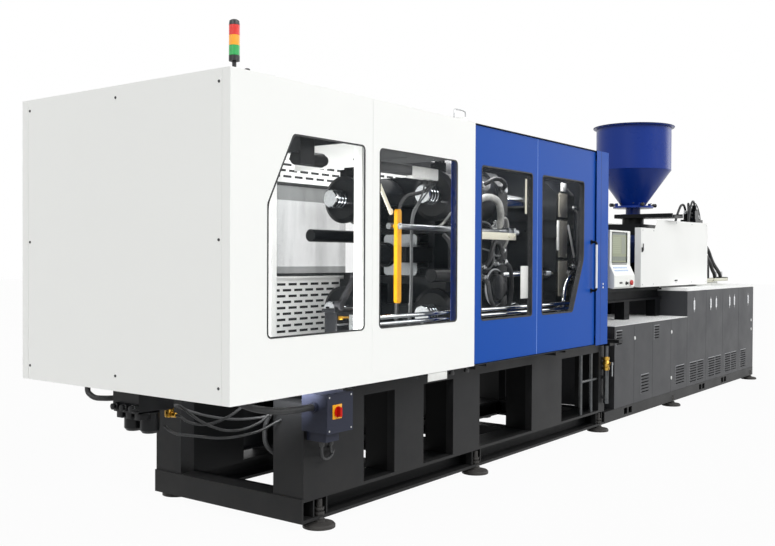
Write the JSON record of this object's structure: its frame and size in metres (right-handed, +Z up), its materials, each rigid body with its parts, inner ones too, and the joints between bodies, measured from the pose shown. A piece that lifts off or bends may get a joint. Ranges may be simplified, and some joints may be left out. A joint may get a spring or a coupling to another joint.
{
  "type": "injection moulding machine",
  "caption": "Horizontal injection moulding machine: guarded clamp with sliding gates, injection unit with a hopper, and a base with cabinet doors.",
  "frame": {"origin": "middle of the footprint, on the floor", "axes": "+X along the machine from the clamp end to the injection end, +Y away from the operator, +Z up"},
  "size_m": [10.09, 1.915, 3.195],
  "materials": {
    "base_black": "satin paint",
    "foot_iron": "satin",
    "way_steel": "ground",
    "cabinet_grey": "satin powder coat",
    "tread_white": "satin powder coat",
    "guard_white": "satin powder coat",
    "guard_blue": "satin powder coat",
    "hopper_blue": "gloss paint",
    "window_clear": "clear polycarbonate",
    "platen_grey": "satin paint over cast iron",
    "hard_chrome": "polished",
    "machined_steel": "machined",
    "cylinder_black": "satin paint",
    "safety_yellow": "gloss paint",
    "pipe_zinc": "galvanised, with a brass valve",
    "black_rubber": "matt",
    "switch_red": "gloss",
    "head_grey": "satin powder coat",
    "screen_glass": "gloss",
    "black_plastic": "matt",
    "lens_plastic": "red, amber and green lens plastic"
  },
  "bodies": {
    "machine": {"base_frame": "base_black", "bed_rails": "base_black", "levelling_feet": "foot_iron", "low_cabinet": "cabinet_grey", "high_cabinet": "cabinet_grey", "tread_plate": "tread_white", "injection_bed": "guard_white", "guard_frame": "guard_white", "clamp_end_panel": "guard_white", "front_panels": "guard_white", "front_panel_windows": "window_clear", "rear_guard_panel": "guard_white", "fixed_end_panels": "guard_blue", "roof_panel": "guard_white", "fixed_platen": "platen_grey", "tie_bars": "hard_chrome", "cylinder_rods": "hard_chrome", "water_pipes": "pipe_zinc", "switch_box": "base_black", "clamp_hydraulics": "cylinder_black", "clamp_hoses": "black_rubber", "beacon_stand": "black_plastic", "beacon_lenses": "lens_plastic"},
    "operator_gate": {"front_gate": "guard_blue", "front_gate_windows": "window_clear"},
    "back_gate": {"rear_gate": "guard_white", "rear_gate_windows": "window_clear"},
    "clamp_carriage": {"moving_platen": "platen_grey", "lock_cylinders": "cylinder_black", "slide_shoes": "machined_steel", "traverse_cylinders": "cylinder_black", "ejector_cylinder": "cylinder_black", "safety_bar": "machined_steel"},
    "ejector_group": {"ejector": "machined_steel"},
    "drop_bar": {"safety_lever": "safety_yellow"},
    "injection_unit": {"injection_carriage": "base_black", "barrel": "machined_steel", "injection_cylinders": "cylinder_black", "injection_covers": "guard_white", "barrel_cover": "guard_blue", "hopper_base": "base_black", "valve_block": "machined_steel", "injection_hoses": "black_rubber"},
    "screw_drive": {"drive_unit": "cylinder_black"},
    "screw_body": {"screw": "machined_steel"},
    "hopper_body": {"hopper": "hopper_blue"},
    "purge_hood": {"purge_guard": "hopper_blue"},
    "control_head": {"hmi_housing": "head_grey", "hmi_screen": "screen_glass"},
    "stop_button": {"emergency_stop": "switch_red"},
    "power_switch": {"main_switch": "switch_red"},
    "valve_lever": {"water_valve_handle": "machined_steel"},
    "low_cabinet_door_1": {"low_door_1": "cabinet_grey"},
    "low_cabinet_door_2": {"low_door_2": "cabinet_grey"},
    "low_cabinet_door_3": {"low_door_3": "cabinet_grey"},
    "low_cabinet_door_4": {"low_door_4": "cabinet_grey"},
    "high_cabinet_door_1": {"high_door_1": "cabinet_grey"},
    "high_cabinet_door_2": {"high_door_2": "cabinet_grey"},
    "high_cabinet_door_3": {"high_door_3": "cabinet_grey"},
    "high_cabinet_door_4": {"high_door_4": "cabinet_grey"}
  },
  "joints": [
    {"name": "operator_gate_slide", "type": "slide", "parent": "machine", "child": "operator_gate", "axis": [-1, 0, 0], "range_m": [0, 1.88]},
    {"name": "back_gate_slide", "type": "slide", "parent": "machine", "child": "back_gate", "axis": [-1, 0, 0], "range_m": [0, 1.88]},
    {"name": "clamp_slide", "type": "slide", "parent": "machine", "child": "clamp_carriage", "axis": [1, 0, 0], "range_m": [0, 0.7]},
    {"name": "ejector_slide", "type": "slide", "parent": "clamp_carriage", "child": "ejector_group", "axis": [1, 0, 0], "range_m": [0, 0.12]},
    {"name": "drop_bar_swing", "type": "hinge", "parent": "clamp_carriage", "child": "drop_bar", "pos_m": [-3.415, -0.75, 1.83], "axis": [0, 1, 0], "range_deg": [-15, 15]},
    {"name": "injection_unit_slide", "type": "slide", "parent": "machine", "child": "injection_unit", "axis": [1, 0, 0], "range_m": [0, 0.45]},
    {"name": "plasticising_slide", "type": "slide", "parent": "injection_unit", "child": "screw_drive", "axis": [1, 0, 0], "range_m": [0, 0.45]},
    {"name": "screw_turn", "type": "hinge", "parent": "screw_drive", "child": "screw_body", "pos_m": [2.855, 0, 1.65], "axis": [1, 0, 0], "continuous": true},
    {"name": "hopper_slide", "type": "slide", "parent": "injection_unit", "child": "hopper_body", "axis": [0, -1, 0], "range_m": [0, 0.4]},
    {"name": "purge_hood_hinge", "type": "hinge", "parent": "machine", "child": "purge_hood", "pos_m": [-0.245, 0.264, 1.5], "axis": [-1, 0, 0], "range_deg": [0, 95]},
    {"name": "control_head_swivel", "type": "hinge", "parent": "machine", "child": "control_head", "pos_m": [-0.405, -0.732, 1.704], "axis": [0, 0, 1], "range_deg": [-30, 40]},
    {"name": "stop_button_press", "type": "slide", "parent": "control_head", "child": "stop_button", "axis": [0, 1, 0], "range_m": [0, 0.006]},
    {"name": "power_switch_turn", "type": "hinge", "parent": "machine", "child": "power_switch", "pos_m": [-4.147, -0.865, 0.729], "axis": [0, 1, 0], "range_deg": [0, 90]},
    {"name": "valve_lever_turn", "type": "hinge", "parent": "machine", "child": "valve_lever", "pos_m": [0.031, -0.755, 0.637], "axis": [0, 1, 0], "range_deg": [0, 90]},
    {"name": "low_cabinet_door_1_hinge", "type": "hinge", "parent": "machine", "child": "low_cabinet_door_1", "pos_m": [0.3115, -0.659, 0.6], "axis": [0, 0, -1], "range_deg": [0, 85]},
    {"name": "low_cabinet_door_2_hinge", "type": "hinge", "parent": "machine", "child": "low_cabinet_door_2", "pos_m": [1.3055, -0.659, 0.6], "axis": [0, 0, 1], "range_deg": [0, 85]},
    {"name": "low_cabinet_door_3_hinge", "type": "hinge", "parent": "machine", "child": "low_cabinet_door_3", "pos_m": [1.3125, -0.659, 0.6], "axis": [0, 0, -1], "range_deg": [0, 85]},
    {"name": "low_cabinet_door_4_hinge", "type": "hinge", "parent": "machine", "child": "low_cabinet_door_4", "pos_m": [2.3765, -0.659, 0.6], "axis": [0, 0, 1], "range_deg": [0, 85]},
    {"name": "high_cabinet_door_1_hinge", "type": "hinge", "parent": "machine", "child": "high_cabinet_door_1", "pos_m": [2.3835, -0.659, 0.6], "axis": [0, 0, -1], "range_deg": [0, 85]},
    {"name": "high_cabinet_door_2_hinge", "type": "hinge", "parent": "machine", "child": "high_cabinet_door_2", "pos_m": [3.6915, -0.659, 0.6], "axis": [0, 0, 1], "range_deg": [0, 85]},
    {"name": "high_cabinet_door_3_hinge", "type": "hinge", "parent": "machine", "child": "high_cabinet_door_3", "pos_m": [3.6985, -0.659, 0.6], "axis": [0, 0, -1], "range_deg": [0, 85]},
    {"name": "high_cabinet_door_4_hinge", "type": "hinge", "parent": "machine", "child": "high_cabinet_door_4", "pos_m": [5.0415, -0.659, 0.6], "axis": [0, 0, 1], "range_deg": [0, 85]}
  ]
}
